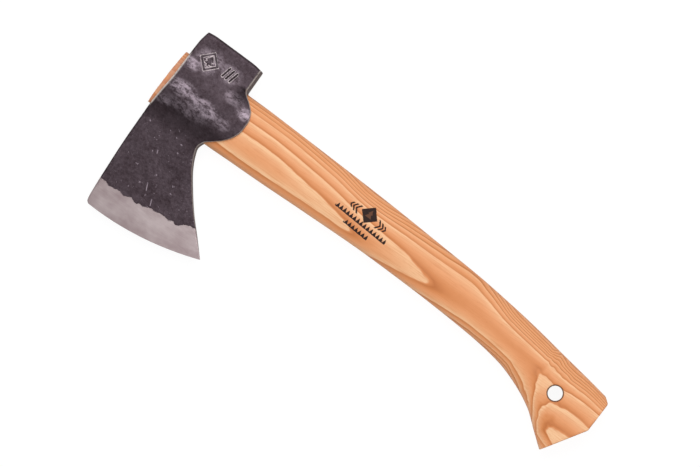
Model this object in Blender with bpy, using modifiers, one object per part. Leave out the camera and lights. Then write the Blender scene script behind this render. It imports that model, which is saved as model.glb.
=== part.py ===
"""Hatchet: a forged steel head on a curved wooden handle, wedged and clipped from the top of the eye.

The pieces are modelled in design axes in millimetres, then set down in metres on the surface they lie on:
X runs along the handle from the top of the eye to the knob, Y from the cutting edge to the poll,
and Z through the thickness, with Z = 0 at the middle plane of the head and handle.
"""
import math

import bmesh
import bpy
from mathutils import Matrix, Vector

MM = 0.001

# ---------------------------------------------------------------- driving dimensions, millimetres
FIT_GAP = 0.3                 # clearance between pieces that are driven together
MERGE = 0.01                  # merge distance of welds and mirrors

# Head outline as (y, x): the top line from poll to toe, and the underside from poll to heel.
HEAD_TOP_LINE = ((58.7, 6.7), (50, 5.2), (25, 4.5), (0, 2.1), (-20, 2.0), (-50, 2.9), (-66, 3.9),
                 (-69.2, 4.9), (-70.9, 7.6))
HEAD_UNDERSIDE = ((57.9, 46.9), (43.2, 46.9), (41, 47.8), (37, 53), (33, 57), (27, 59.3), (21, 59.2),
                  (15, 57.2), (9.5, 53), (5, 47.6), (1, 43.0), (-3.5, 41.6), (-8, 42.9), (-16, 46.9),
                  (-26, 54.0), (-38, 63.7), (-50, 75.1), (-58.9, 83.2))
# Half thickness of the cheeks as (y, z), from the poll to where the blade begins.
CHEEK_HALF_THICKNESS = ((58, 10.6), (48, 10.9), (38, 11.6), (26, 12.2), (20, 12.0), (15, 11.2),
                        (10, 9.9), (4, 8.1), (-4, 6.5))
# Half thickness of the blade as (share of the way to the edge, z).
BLADE_HALF_THICKNESS = ((0, 6.5), (0.25, 4.9), (0.5, 3.6), (0.74, 2.5))
BLADE_START_Y = -4            # above this the rows of the head are straight, below they bend with the edge
BEVEL_START = 0.74            # share of the blade at which the ground bevel begins
EDGE_HALF_THICKNESS = 0.12
EDGE_BOW = 1 / 380            # curvature of the cutting edge: bow = (distances to both ends) x this
POLL_CROWN = 0.8              # the poll face stands proud of its corners by this much
POLL_FLAT = 0.6               # share of its width that is flat; the rest rolls off to the corners
POLL_CROWN_DEPTH = 12         # depth below the face at which the rows are straight
LUG_START_X = 40              # from here to LUG_END_X the cheek thins into the lug
LUG_END_X = 52
LUG_WALL = 1.9                # steel outside the wood at the lug
LUG_FULL_Y, POLL_FULL_Y = 38, 44       # between these the thin lug gives way to the full poll
HEAD_CORNER = 0.9             # rounding of the head's outer corners

# Handle stations as (x, y of front edge, y of back edge, half thickness, squareness of the oval).
HANDLE_STATIONS = (
    (-1.0, 1.2, 42.2, 8.4, 2.1),
    (46, 0.9, 41.4, 8.5, 2.15),
    (62, 1.2, 41.2, 9.2, 2.25),
    (80, 1.4, 40.6, 9.9, 2.35),
    (120, 2.4, 39.1, 9.8, 2.4),
    (160, 3.1, 37.3, 9.3, 2.4),
    (200, 2.3, 34.8, 9.1, 2.4),
    (230, 0.9, 32.8, 9.2, 2.4),
    (250, -0.6, 30.7, 9.5, 2.4),
    (270, -3.6, 28.2, 10.0, 2.4),
    (285, -8.4, 25.9, 10.5, 2.45),
    (300, -15.8, 23.4, 11.0, 2.5),
    (312, -25.4, 21.5, 11.3, 2.55),
    (322, -33.4, 19.9, 11.4, 2.6),
    (346, -52.4, 15.6, 11.4, 2.6),
)
HANDLE_STEP = 6.0             # spacing of the loft's sections
HANDLE_SIDES = 44             # points around a section
HANDLE_TOP_X = -0.3           # top of the tongue at its front edge
HANDLE_TOP_SLOPE = 0.043      # the top was sawn a little out of square: x gained per mm of y
HANDLE_TOP_CHAMFER = 0.4
KNOB_CUT = ((321.9, -31.7), (338.6, -5.8), (339.4, 14.4))   # slanted cut, then the end face
KNOB_HEEL = (335.8, 17.3)     # the end face's corner with the back edge is taken off to here

LANYARD_HOLE = (309.1, 1.2)
LANYARD_RADIUS = 4.7
LANYARD_RIM_RADIUS = 5.5      # the rims are eased outwards
LANYARD_RIM_DEPTH = 1.2

EYE_CENTRE_Y = 21.2
WEDGE_DEPTH = 27
WEDGE_HALF_WIDTH = 19.0       # along the eye
WEDGE_HALF_THICKNESS = (2.1, 0.7)      # at the top and at the thin end
KERF_DEPTH = 31
CLIP_LENGTH = 13.0            # across the wedge
CLIP_THICKNESS = 1.6
CLIP_DEPTH = 9.5
CLIP_LEGS = 3
CLIP_BRIDGE = 3.0             # height of the bar that joins the legs

COLOURS = {                   # base colour, metallic, roughness
    "axe_head": ((0.070, 0.055, 0.062), 0.85, 0.55),
    "handle": ((0.78, 0.42, 0.19), 0.0, 0.5),
    "wooden_wedge": ((0.62, 0.36, 0.17), 0.0, 0.6),
    "steel_clip": ((0.42, 0.41, 0.40), 1.0, 0.4),
}


# ---------------------------------------------------------------- helpers
def curve_through(knots, position):
    """Smooth value at a position along knots of (position, value, ...), without overshoot."""
    rising = knots if knots[0][0] < knots[-1][0] else knots[::-1]
    places = [knot[0] for knot in rising]
    position = min(max(position, places[0]), places[-1])
    span = max(i for i in range(len(rising) - 1) if places[i] <= position)

    def slope(i, column):
        if i in (0, len(rising) - 1):
            i = min(max(i, 1), len(rising) - 1)
            return (rising[i][column] - rising[i - 1][column]) / (places[i] - places[i - 1])
        before = (rising[i][column] - rising[i - 1][column]) / (places[i] - places[i - 1])
        after = (rising[i + 1][column] - rising[i][column]) / (places[i + 1] - places[i])
        return 0.0 if before * after <= 0 else 2 * before * after / (before + after)

    width = places[span + 1] - places[span]
    t = (position - places[span]) / width
    values = []
    for column in range(1, len(rising[0])):
        start, end = rising[span][column], rising[span + 1][column]
        values.append(start * (1 + 2 * t) * (1 - t) ** 2 + end * t * t * (3 - 2 * t)
                      + width * t * (1 - t) * (slope(span, column) * (1 - t) - slope(span + 1, column) * t))
    return values[0] if len(values) == 1 else values


def ease(low, high, value):
    """0 below low, 1 above high, smooth between."""
    t = min(max((value - low) / (high - low), 0.0), 1.0)
    return t * t * (3 - 2 * t)


def mix(start, end, t):
    return start + (end - start) * t


def new_object(name, mesh, collection):
    obj = bpy.data.objects.new(name, mesh)
    collection.objects.link(obj)
    return obj


def object_from_bmesh(name, bm, collection):
    """Turn a bmesh in millimetres into an object in metres."""
    bmesh.ops.scale(bm, vec=(MM, MM, MM), verts=bm.verts)
    bmesh.ops.recalc_face_normals(bm, faces=bm.faces)
    mesh = bpy.data.meshes.new(name)
    bm.to_mesh(mesh)
    bm.free()
    return new_object(name, mesh, collection)


def as_cutter(obj):
    obj.hide_render = True
    obj.display_type = "WIRE"
    return obj


def cut(target, cutter):
    modifier = target.modifiers.new("cut " + cutter.name, "BOOLEAN")
    modifier.operation = "DIFFERENCE"
    modifier.solver = "EXACT"
    modifier.object = cutter


def paint(obj):
    colour, metallic, roughness = COLOURS[obj.name]
    material = bpy.data.materials.new(obj.name)
    material.use_nodes = True
    shader = material.node_tree.nodes["Principled BSDF"]
    shader.inputs["Base Color"].default_value = (*colour, 1.0)
    shader.inputs["Metallic"].default_value = metallic
    shader.inputs["Roughness"].default_value = roughness
    obj.data.materials.append(material)


def prism(name, outline, half_depth, collection):
    """Closed solid from an XY outline, extruded evenly to both sides of Z = 0."""
    bm = bmesh.new()
    face = bm.faces.new([bm.verts.new((x, y, -half_depth)) for x, y in outline])
    grown = bmesh.ops.extrude_face_region(bm, geom=[face])["geom"]
    risen = [item for item in grown if isinstance(item, bmesh.types.BMVert)]
    bmesh.ops.translate(bm, vec=(0, 0, 2 * half_depth), verts=risen)
    return object_from_bmesh(name, bm, collection)


# ---------------------------------------------------------------- handle
def handle_section(x, grow):
    """Centre, half depth, half thickness and squareness of the handle's oval at x."""
    front, back, thick, square = curve_through(HANDLE_STATIONS, x)
    return (front + back) / 2, (back - front) / 2 + grow, thick + grow, square


def oval_half_thickness(x, y, grow=0.0):
    """Half thickness of the handle at height y of its section at x; 0 outside it."""
    centre, half_depth, half_thick, square = handle_section(x, grow)
    share = min(abs(y - centre) / half_depth, 1.0)
    return half_thick * (1 - share ** square) ** (1 / square)


def oval_ring(bm, x, grow, lean=0.0):
    """One ring of vertices around the handle; lean tilts the ring's plane along x."""
    centre, half_depth, half_thick, square = handle_section(x, grow)
    ring = []
    for i in range(HANDLE_SIDES):
        angle = 2 * math.pi * i / HANDLE_SIDES
        y = centre + half_depth * math.copysign(abs(math.cos(angle)) ** (2 / square), math.cos(angle))
        z = half_thick * math.copysign(abs(math.sin(angle)) ** (2 / square), math.sin(angle))
        ring.append(bm.verts.new((x + lean * (y - EYE_CENTRE_Y), y, z)))
    return ring


def loft(name, rings, bm, collection):
    """Skin the rings in order and cap both ends."""
    for near, far in zip(rings, rings[1:]):
        for i in range(HANDLE_SIDES):
            j = (i + 1) % HANDLE_SIDES
            bm.faces.new((near[i], near[j], far[j], far[i]))
    bm.faces.new(rings[0])
    bm.faces.new(rings[-1][::-1])
    return object_from_bmesh(name, bm, collection)


def handle_places(start, end):
    """Section places between two x, spread evenly at about HANDLE_STEP."""
    count = round((end - start) / HANDLE_STEP)
    return [mix(start, end, i / count) for i in range(count + 1)]


def make_handle(collection, cutters):
    bm = bmesh.new()
    top = HANDLE_TOP_X + HANDLE_TOP_SLOPE * EYE_CENTRE_Y
    rings = [oval_ring(bm, top, -HANDLE_TOP_CHAMFER, HANDLE_TOP_SLOPE),
             oval_ring(bm, top + HANDLE_TOP_CHAMFER, 0.0, HANDLE_TOP_SLOPE)]
    rings += [oval_ring(bm, x, 0.0) for x in handle_places(top + HANDLE_STEP, HANDLE_STATIONS[-1][0])]
    handle = loft("handle", rings, bm, collection)
    cut(handle, make_knob_cutter(cutters))
    cut(handle, make_lanyard_cutter(cutters))
    cut(handle, make_kerf_cutter(cutters))
    cut(handle, make_clip_slot(cutters))
    return handle


def make_knob_cutter(cutters):
    """Everything beyond the slanted cut, the end face and the corner at the back edge."""
    toe, bend, heel = KNOB_CUT
    far_x, far_y = 400.0, 80.0
    toe_run = Vector(toe) + (Vector(toe) - Vector(bend)) * 1.2
    heel_run = Vector(KNOB_HEEL) + (Vector(KNOB_HEEL) - Vector(heel)) * 4
    outline = [toe_run, bend, heel, heel_run, (heel_run.x, far_y), (far_x, far_y), (far_x, toe_run.y)]
    return as_cutter(prism("knob_cutter", outline, 30, cutters))


def make_lanyard_cutter(cutters):
    """Turned cutter: a straight bore that opens out at both faces of the knob."""
    half = curve_through(HANDLE_STATIONS, LANYARD_HOLE[0])[2]
    rim = half - LANYARD_RIM_DEPTH
    profile = ((0, -half - 4), (LANYARD_RIM_RADIUS, -half - 4), (LANYARD_RIM_RADIUS, -half - 0.2),
               (LANYARD_RADIUS, -rim), (LANYARD_RADIUS, rim), (LANYARD_RIM_RADIUS, half + 0.2),
               (LANYARD_RIM_RADIUS, half + 4), (0, half + 4))
    bm = bmesh.new()
    verts = [bm.verts.new((x, 0, z)) for x, z in profile]
    for near, far in zip(verts, verts[1:]):
        bm.edges.new((near, far))
    bmesh.ops.spin(bm, geom=bm.verts[:] + bm.edges[:], axis=(0, 0, 1), angle=2 * math.pi, steps=32,
                   use_merge=True)
    bmesh.ops.remove_doubles(bm, verts=bm.verts, dist=MERGE)
    bmesh.ops.translate(bm, vec=(*LANYARD_HOLE, 0), verts=bm.verts)
    return as_cutter(object_from_bmesh("lanyard_cutter", bm, cutters))


# ---------------------------------------------------------------- wedge and clip
def wedge_shape(name, depth, grow, overrun, collection):
    """Tapered plate on the eye's middle plane; overrun carries it out past the top."""
    thick_top, thick_end = (value + grow for value in WEDGE_HALF_THICKNESS)
    bm = bmesh.new()
    bmesh.ops.create_cube(bm, size=2)
    for vert in bm.verts:
        side = math.copysign(1, vert.co.y)
        y = EYE_CENTRE_Y + side * (WEDGE_HALF_WIDTH + overrun)
        at_top = vert.co.x < 0
        top = HANDLE_TOP_X + HANDLE_TOP_SLOPE * y - overrun
        thick = thick_top if at_top else thick_end
        vert.co = (top if at_top else HANDLE_TOP_X + depth, y, math.copysign(thick, vert.co.z))
    return object_from_bmesh(name, bm, collection)


def make_kerf_cutter(cutters):
    return as_cutter(wedge_shape("kerf_cutter", KERF_DEPTH, FIT_GAP, 4.0, cutters))


def make_clip_slot(cutters):
    """Box around the clip, open at the top of the wood."""
    half_run = CLIP_THICKNESS / 2 + FIT_GAP
    bottom = clip_top() + CLIP_DEPTH + FIT_GAP
    outline = [(-5, EYE_CENTRE_Y - half_run), (bottom, EYE_CENTRE_Y - half_run),
               (bottom, EYE_CENTRE_Y + half_run), (-5, EYE_CENTRE_Y + half_run)]
    return as_cutter(prism("clip_slot", outline, CLIP_LENGTH / 2 + FIT_GAP, cutters))


def clip_top():
    return HANDLE_TOP_X + HANDLE_TOP_SLOPE * EYE_CENTRE_Y


def make_wedge(collection):
    wedge = wedge_shape("wooden_wedge", WEDGE_DEPTH, 0.0, 0.0, collection)
    cut(wedge, bpy.data.objects["clip_slot"])
    return wedge


def make_clip(collection):
    """A bar across the wedge with pointed legs driven down into the wood on both sides."""
    pitch = CLIP_LENGTH / CLIP_LEGS
    outline = [(0, -CLIP_LENGTH / 2)]
    for leg in range(CLIP_LEGS):
        start = leg * pitch - CLIP_LENGTH / 2
        outline += [(CLIP_BRIDGE, start), (CLIP_DEPTH, start + 0.5 * pitch), (CLIP_BRIDGE, start + pitch)]
    outline.append((0, CLIP_LENGTH / 2))
    unique = [point for i, point in enumerate(outline) if i == 0 or point != outline[i - 1]]
    clip = prism("steel_clip", unique, CLIP_THICKNESS / 2, collection)
    turn = Matrix.Rotation(math.pi / 2, 4, "X")
    clip.data.transform(Matrix.Translation((clip_top() * MM, EYE_CENTRE_Y * MM, 0)) @ turn)
    return clip


# ---------------------------------------------------------------- head
def head_row(share):
    """Ends, bow, crown and half thickness of a row; share runs from 0 at the poll to 1 at the edge."""
    poll_y, heel_y = HEAD_UNDERSIDE[0][0], HEAD_UNDERSIDE[-1][0]
    y_right = mix(poll_y, heel_y, share)
    if y_right > BLADE_START_Y:
        rise = ease(poll_y - POLL_CROWN_DEPTH, poll_y, y_right)
        y_left = y_right + rise * (HEAD_TOP_LINE[0][0] - poll_y)
        bow, crown = 0.0, POLL_CROWN * rise
        half = curve_through(CHEEK_HALF_THICKNESS, y_right)
    else:
        blade = (BLADE_START_Y - y_right) / (BLADE_START_Y - heel_y)
        y_left = mix(BLADE_START_Y, HEAD_TOP_LINE[-1][0], blade)
        bow, crown = EDGE_BOW * ease(0, BEVEL_START, blade), 0.0
        if blade < BEVEL_START:
            half = curve_through(BLADE_HALF_THICKNESS, blade)
        else:
            bevel = (blade - BEVEL_START) / (1 - BEVEL_START)
            half = mix(BLADE_HALF_THICKNESS[-1][1], EDGE_HALF_THICKNESS, bevel)
    left = Vector((curve_through(HEAD_TOP_LINE, y_left), y_left))
    right = Vector((curve_through(HEAD_UNDERSIDE, y_right), y_right))
    return left, right, bow, crown, half


def head_shares():
    """Row places: close together around the lug and the edge, wider on the blade."""
    poll_y, heel_y = HEAD_UNDERSIDE[0][0], HEAD_UNDERSIDE[-1][0]
    length = poll_y - heel_y
    bevel_y = mix(BLADE_START_Y, heel_y, BEVEL_START)
    stretches = ((poll_y, poll_y - HEAD_CORNER, 1), (poll_y - HEAD_CORNER, 44, 5), (44, -6, 32),
                 (-6, bevel_y, 12), (bevel_y, -55, 4), (-55, heel_y, 4))
    places = [poll_y]
    for start, end, count in stretches:
        places += [mix(start, end, (i + 1) / count) for i in range(count)]
    return [(poll_y - y) / length for y in places]


def head_point(share, column, columns):
    """Point of the head's upper skin; the outermost rows and columns are the rounded corner."""
    left, right, bow, crown, half = head_row(share)
    width = right.x - left.x
    corner = min(HEAD_CORNER, half * 0.45)
    if column == 0:
        along = 0.0
    elif column == columns:
        along = 1.0
    else:
        along = mix(corner / width, 1 - corner / width, (column - 1) / (columns - 2))
    x = mix(left.x, right.x, along)
    roll_off = max(abs(2 * along - 1) - POLL_FLAT, 0) / (1 - POLL_FLAT)
    y = mix(left.y, right.y, along) - bow * (x - left.x) * (right.x - x) + crown * (1 - roll_off ** 2)
    lug = ease(LUG_START_X, LUG_END_X, x) * ease(BLADE_START_Y, 4, y) * (1 - ease(LUG_FULL_Y, POLL_FULL_Y, y))
    if lug > 0:
        half = mix(half, min(half, oval_half_thickness(x, y, FIT_GAP) + LUG_WALL), lug)
    drop = corner if column in (0, columns) or share == 0.0 else 0.0
    return Vector((x, y, half - drop))


def make_head(collection, cutters):
    shares = head_shares()
    rows, columns = len(shares) - 1, 20
    bm = bmesh.new()
    bmesh.ops.create_grid(bm, x_segments=columns, y_segments=rows, size=1)
    for vert in bm.verts:
        column = round((vert.co.x + 1) / 2 * columns)
        row = round((1 - vert.co.y) / 2 * rows)
        vert.co = head_point(shares[row], column, columns)
    rim = [edge for edge in bm.edges if edge.is_boundary]
    wall = bmesh.ops.extrude_edge_only(bm, edges=rim)["geom"]
    for vert in (item for item in wall if isinstance(item, bmesh.types.BMVert)):
        vert.co.z = 0.0
    head = object_from_bmesh("axe_head", bm, collection)
    mirror = head.modifiers.new("far cheek", "MIRROR")
    mirror.use_axis = (False, False, True)
    mirror.merge_threshold = MERGE * MM
    cut(head, make_eye_cutter(cutters))
    return head


def make_eye_cutter(cutters):
    """The handle's own tongue, grown by the fit gap, so wood and steel never touch."""
    bm = bmesh.new()
    top = HANDLE_TOP_X + HANDLE_TOP_SLOPE * EYE_CENTRE_Y
    rings = [oval_ring(bm, top - HANDLE_STEP, FIT_GAP)]
    rings += [oval_ring(bm, x, FIT_GAP) for x in handle_places(top + HANDLE_STEP, HANDLE_STATIONS[-1][0])
              if x < LUG_END_X + 5 * HANDLE_STEP]
    return as_cutter(loft("eye_cutter", rings, bm, cutters))


# ---------------------------------------------------------------- assembly
def main():
    for obj in list(bpy.data.objects):
        bpy.data.objects.remove(obj, do_unlink=True)
    scene = bpy.context.scene.collection
    collection = bpy.data.collections.new("hatchet")
    cutters = bpy.data.collections.new("cutters")
    scene.children.link(collection)
    scene.children.link(cutters)

    pieces = [make_head(collection, cutters), make_handle(collection, cutters),
              make_wedge(collection), make_clip(collection)]
    for piece in pieces:
        paint(piece)

    datum = new_object("row_frame", None, collection)
    for obj in pieces + list(cutters.objects):
        obj.parent = datum
    bpy.context.view_layer.update()
    graph = bpy.context.evaluated_depsgraph_get()
    corners = [Vector(corner) for piece in pieces for corner in piece.evaluated_get(graph).bound_box]
    middle_x = (min(c.x for c in corners) + max(c.x for c in corners)) / 2
    middle_y = (min(c.y for c in corners) + max(c.y for c in corners)) / 2
    datum.location = (-middle_x, -middle_y, -min(c.z for c in corners))


main()
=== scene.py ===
"""Looks of the hatchet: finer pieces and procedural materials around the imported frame.

Shapes are worked out in the part's design axes, in millimetres: X along the handle from the top of the eye,
Y from the cutting edge to the poll, Z from the middle plane. as_object() sets a finished mesh into the row
frame. Materials read the same design axes, so that grain, marks and rubbed patches stay on the object.
"""
import math

import bmesh
import bpy
from mathutils import Matrix, Vector, kdtree, noise


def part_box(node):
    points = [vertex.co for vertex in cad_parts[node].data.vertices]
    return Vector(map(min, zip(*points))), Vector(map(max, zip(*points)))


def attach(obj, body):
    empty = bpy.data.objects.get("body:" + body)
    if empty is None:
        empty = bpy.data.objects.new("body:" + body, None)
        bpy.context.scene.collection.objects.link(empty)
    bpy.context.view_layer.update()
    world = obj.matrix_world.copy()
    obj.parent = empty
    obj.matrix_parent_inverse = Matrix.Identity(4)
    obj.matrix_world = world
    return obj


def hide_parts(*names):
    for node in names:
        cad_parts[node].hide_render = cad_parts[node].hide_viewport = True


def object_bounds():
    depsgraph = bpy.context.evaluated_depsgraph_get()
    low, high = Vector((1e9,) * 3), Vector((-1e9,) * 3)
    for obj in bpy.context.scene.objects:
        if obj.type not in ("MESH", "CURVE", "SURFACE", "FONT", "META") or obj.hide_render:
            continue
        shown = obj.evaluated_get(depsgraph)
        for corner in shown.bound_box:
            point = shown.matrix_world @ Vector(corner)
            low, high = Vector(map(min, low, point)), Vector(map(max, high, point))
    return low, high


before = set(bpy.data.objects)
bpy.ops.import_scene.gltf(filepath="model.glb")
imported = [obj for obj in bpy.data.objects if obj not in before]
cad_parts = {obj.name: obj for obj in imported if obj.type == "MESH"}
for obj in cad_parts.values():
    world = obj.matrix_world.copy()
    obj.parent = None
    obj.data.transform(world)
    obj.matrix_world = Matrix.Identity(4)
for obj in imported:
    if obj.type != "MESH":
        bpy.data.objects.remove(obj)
CAD_LOW, CAD_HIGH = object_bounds()

MM = 0.001
KNOB_END_X = 339.4            # design x of the object's far end
EDGE_LOW_Y = -71.05           # design y of the object's lowest point across the handle
ORIGIN = Vector((CAD_HIGH[0] - KNOB_END_X * MM, CAD_LOW[1] - EDGE_LOW_Y * MM,
                 (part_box("axe_head")[0][2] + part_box("axe_head")[1][2]) / 2))

# ---------------------------------------------------------------- dimensions, millimetres
HEAD_TOP_LINE = ((58.7, 6.7), (50, 5.2), (25, 4.5), (0, 2.1), (-20, 2.0), (-50, 2.9), (-66, 3.9),
                 (-69.3, 4.6), (-70.7, 6.2))
HEAD_UNDERSIDE = ((57.9, 46.9), (43.2, 46.9), (41, 47.8), (37, 53), (33, 57), (27, 59.3), (21, 59.2),
                  (15, 57.2), (9.5, 53), (5, 47.6), (1, 43.0), (-3.5, 41.6), (-8, 42.9), (-16, 46.9),
                  (-26, 54.0), (-38, 63.7), (-50, 75.1), (-58.9, 83.2))
CHEEK_HALF_THICKNESS = ((58, 10.6), (48, 10.9), (38, 11.6), (26, 12.2), (20, 12.0), (15, 11.2),
                        (10, 9.9), (4, 8.1), (-4, 6.5))
BLADE_HALF_THICKNESS = ((0, 6.5), (0.25, 4.9), (0.5, 3.6), (0.74, 2.5), (1.0, 1.35))
BLADE_START_Y = -4
BEVEL_START = 0.74
EDGE_HALF_THICKNESS = 0.12
EDGE_BOW = 1 / 380
POLL_CROWN = 0.8
POLL_FLAT = 0.6
POLL_CROWN_DEPTH = 12
LUG_START_X, LUG_END_X = 40, 52
LUG_WALL = 1.9
LUG_FULL_Y, POLL_FULL_Y = 38, 44       # between these the thin lug gives way to the full poll
HEAD_CORNER = 0.9
POLL_CORNER = 1.8
BEVEL_LEAN = 0.12             # the toe's side was ground this much deeper, so its bevel is wider
HEAD_ROW_STEP = 0.5
HEAD_COLUMNS = 112
WALL_LOOPS = 7
STAMP_DEPTH = 0.3
STAMP_LOZENGE = (17.9, 44.0, 5.9)      # centre and half diagonal of the stamp on the upper cheek
STAMP_STROKES = (((29.4, 41.6), (31.0, 48.0)), ((32.2, 41.4), (33.8, 47.8)), ((35.0, 41.2), (36.6, 47.6)))
EYE_GAP = 0.12                # the wood is driven tight into the steel
WALL_AWAY = 0.1               # a vertex further than this from the cheeks' own points is on a side wall
EDGE_ZONE = 1.0               # this close to the cutting edge the walls are ground too
WORN_AND_LIT_DEPTH = (0.4, 1.5)       # the rims' wear and painted highlight fade out between these depths down the wall

HANDLE_STATIONS = (           # x, y of front edge, y of back edge, half thickness, squareness of the oval
    (-1.0, 1.2, 42.2, 8.4, 2.1),
    (46, 0.9, 41.4, 8.5, 2.15),
    (62, 1.2, 41.2, 9.2, 2.25),
    (80, 1.4, 40.6, 9.9, 2.35),
    (120, 2.4, 39.1, 9.8, 2.4),
    (160, 3.1, 37.3, 9.3, 2.4),
    (200, 2.3, 34.8, 9.1, 2.4),
    (230, 0.9, 32.8, 9.2, 2.4),
    (250, -0.6, 30.7, 9.5, 2.4),
    (270, -3.6, 28.2, 10.0, 2.4),
    (285, -8.4, 25.9, 10.5, 2.45),
    (300, -15.8, 23.4, 11.0, 2.5),
    (312, -25.4, 21.5, 11.3, 2.55),
    (322, -33.4, 19.9, 11.4, 2.6),
    (346, -52.4, 15.6, 11.4, 2.6),
)
HANDLE_RING_STEP = 1.5
HANDLE_SIDES = 120
HANDLE_VOXEL = 0.68
HANDLE_TOP_X = -0.3
HANDLE_TOP_SLOPE = 0.043
KNOB_CUT = ((321.9, -31.7), (338.6, -5.8), (339.4, 14.4))
KNOB_HEEL = (335.8, 17.3)
LANYARD_HOLE = (309.1, 1.2)
LANYARD_RADIUS = 4.7
LANYARD_RIM = 1.0             # radius of the eased rims
EYE_CENTRE_Y = 21.2
KERF_DEPTH = 31
WEDGE_HALF_WIDTH = 19.0
WEDGE_HALF_THICKNESS = (2.1, 0.7)
WEDGE_DEPTH = 27
FIT_GAP = 0.3

# The camera stands above this point of the design axes and looks at CAMERA_TARGET.
CAMERA_PLACE = (309.0, 1.0, 2400.0)
CAMERA_TARGET = (149.29, 8.106, 0.0)
CAMERA_ROLL = math.radians(35.5)       # the handle slopes down to the right by this much
FRAME_WIDTH_MM = 431.5                 # what the picture's width covers at the target
SENSOR_MM = 36.0


# ---------------------------------------------------------------- small helpers
def curve_through(knots, position):
    """Smooth value at a position along knots of (position, value, ...), without overshoot."""
    rising = knots if knots[0][0] < knots[-1][0] else knots[::-1]
    places = [knot[0] for knot in rising]
    position = min(max(position, places[0]), places[-1])
    span = max(i for i in range(len(rising) - 1) if places[i] <= position)

    def slope(i, column):
        if i in (0, len(rising) - 1):
            i = min(max(i, 1), len(rising) - 1)
            return (rising[i][column] - rising[i - 1][column]) / (places[i] - places[i - 1])
        before = (rising[i][column] - rising[i - 1][column]) / (places[i] - places[i - 1])
        after = (rising[i + 1][column] - rising[i][column]) / (places[i + 1] - places[i])
        return 0.0 if before * after <= 0 else 2 * before * after / (before + after)

    width = places[span + 1] - places[span]
    t = (position - places[span]) / width
    values = []
    for column in range(1, len(rising[0])):
        start, end = rising[span][column], rising[span + 1][column]
        values.append(start * (1 + 2 * t) * (1 - t) ** 2 + end * t * t * (3 - 2 * t)
                      + width * t * (1 - t) * (slope(span, column) * (1 - t) - slope(span + 1, column) * t))
    return values[0] if len(values) == 1 else values


def ease(low, high, value):
    """0 below low, 1 above high, smooth between."""
    t = min(max((value - low) / (high - low), 0.0), 1.0)
    return t * t * (3 - 2 * t)


def mix(start, end, t):
    return start + (end - start) * t


def to_row(point):
    """A point of the design axes, in millimetres, as row-frame metres."""
    return ORIGIN + Vector(point) * MM


def as_object(name, bm):
    """A finished bmesh of the design axes as an object of the row frame."""
    for vert in bm.verts:
        vert.co = to_row(vert.co)
    bmesh.ops.recalc_face_normals(bm, faces=bm.faces)
    mesh = bpy.data.meshes.new(name)
    bm.to_mesh(mesh)
    bm.free()
    obj = bpy.data.objects.new(name, mesh)
    bpy.context.scene.collection.objects.link(obj)
    return obj


def settle(obj):
    """Apply the object's modifiers to its mesh."""
    bpy.context.view_layer.update()
    graph = bpy.context.evaluated_depsgraph_get()
    mesh = bpy.data.meshes.new_from_object(obj.evaluated_get(graph))
    obj.modifiers.clear()
    obj.data = mesh


def cut(target, cutter):
    """Subtract the cutter now and remove it."""
    modifier = target.modifiers.new("cut", "BOOLEAN")
    modifier.operation = "DIFFERENCE"
    modifier.solver = "EXACT"
    modifier.object = cutter
    settle(target)
    bpy.data.objects.remove(cutter, do_unlink=True)


def shade_by_angle(obj, degrees):
    """Smooth shading, with an edge kept sharp where its faces meet at more than this angle."""
    bm = bmesh.new()
    bm.from_mesh(obj.data)
    limit = math.radians(degrees)
    for face in bm.faces:
        face.smooth = True
    for edge in bm.edges:
        edge.smooth = len(edge.link_faces) == 2 and edge.calc_face_angle(0.0) < limit
    bm.to_mesh(obj.data)
    bm.free()


def prism(name, outline, half_depth):
    """Closed solid from an XY outline, extruded evenly to both sides of the middle plane."""
    bm = bmesh.new()
    face = bm.faces.new([bm.verts.new((x, y, -half_depth)) for x, y in outline])
    grown = bmesh.ops.extrude_face_region(bm, geom=[face])["geom"]
    risen = [item for item in grown if isinstance(item, bmesh.types.BMVert)]
    bmesh.ops.translate(bm, vec=(0, 0, 2 * half_depth), verts=risen)
    return as_object(name, bm)


# ---------------------------------------------------------------- handle
def handle_section(x, grow):
    front, back, thick, square = curve_through(HANDLE_STATIONS, x)
    return (front + back) / 2, (back - front) / 2 + grow, thick + grow, square


def oval_half_thickness(x, y, grow=0.0):
    centre, half_depth, half_thick, square = handle_section(x, grow)
    share = min(abs(y - centre) / half_depth, 1.0)
    return half_thick * (1 - share ** square) ** (1 / square)


def oval_loft(name, places, grow, lean_first=0.0):
    """Skin of the handle's ovals at the given places, capped at both ends."""
    bm = bmesh.new()
    rings = []
    for i, x in enumerate(places):
        centre, half_depth, half_thick, square = handle_section(x, grow)
        lean = lean_first if i == 0 else 0.0
        ring = []
        for j in range(HANDLE_SIDES):
            angle = 2 * math.pi * j / HANDLE_SIDES
            y = centre + half_depth * math.copysign(abs(math.cos(angle)) ** (2 / square), math.cos(angle))
            z = half_thick * math.copysign(abs(math.sin(angle)) ** (2 / square), math.sin(angle))
            ring.append(bm.verts.new((x + lean * (y - EYE_CENTRE_Y), y, z)))
        rings.append(ring)
    for near, far in zip(rings, rings[1:]):
        for i in range(HANDLE_SIDES):
            j = (i + 1) % HANDLE_SIDES
            bm.faces.new((near[i], near[j], far[j], far[i]))
    bm.faces.new(rings[0])
    bm.faces.new(rings[-1][::-1])
    return as_object(name, bm)


def evenly(start, end, step):
    count = max(1, round((end - start) / step))
    return [mix(start, end, i / count) for i in range(count + 1)]


def knob_cutter():
    toe, bend, heel = KNOB_CUT
    far_x, far_y = 400.0, 80.0
    toe_run = Vector(toe) + (Vector(toe) - Vector(bend)) * 1.2
    heel_run = Vector(KNOB_HEEL) + (Vector(KNOB_HEEL) - Vector(heel)) * 4
    return prism("knob_cutter", [toe_run, bend, heel, heel_run, (heel_run.x, far_y), (far_x, far_y),
                                 (far_x, toe_run.y)], 30)


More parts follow.
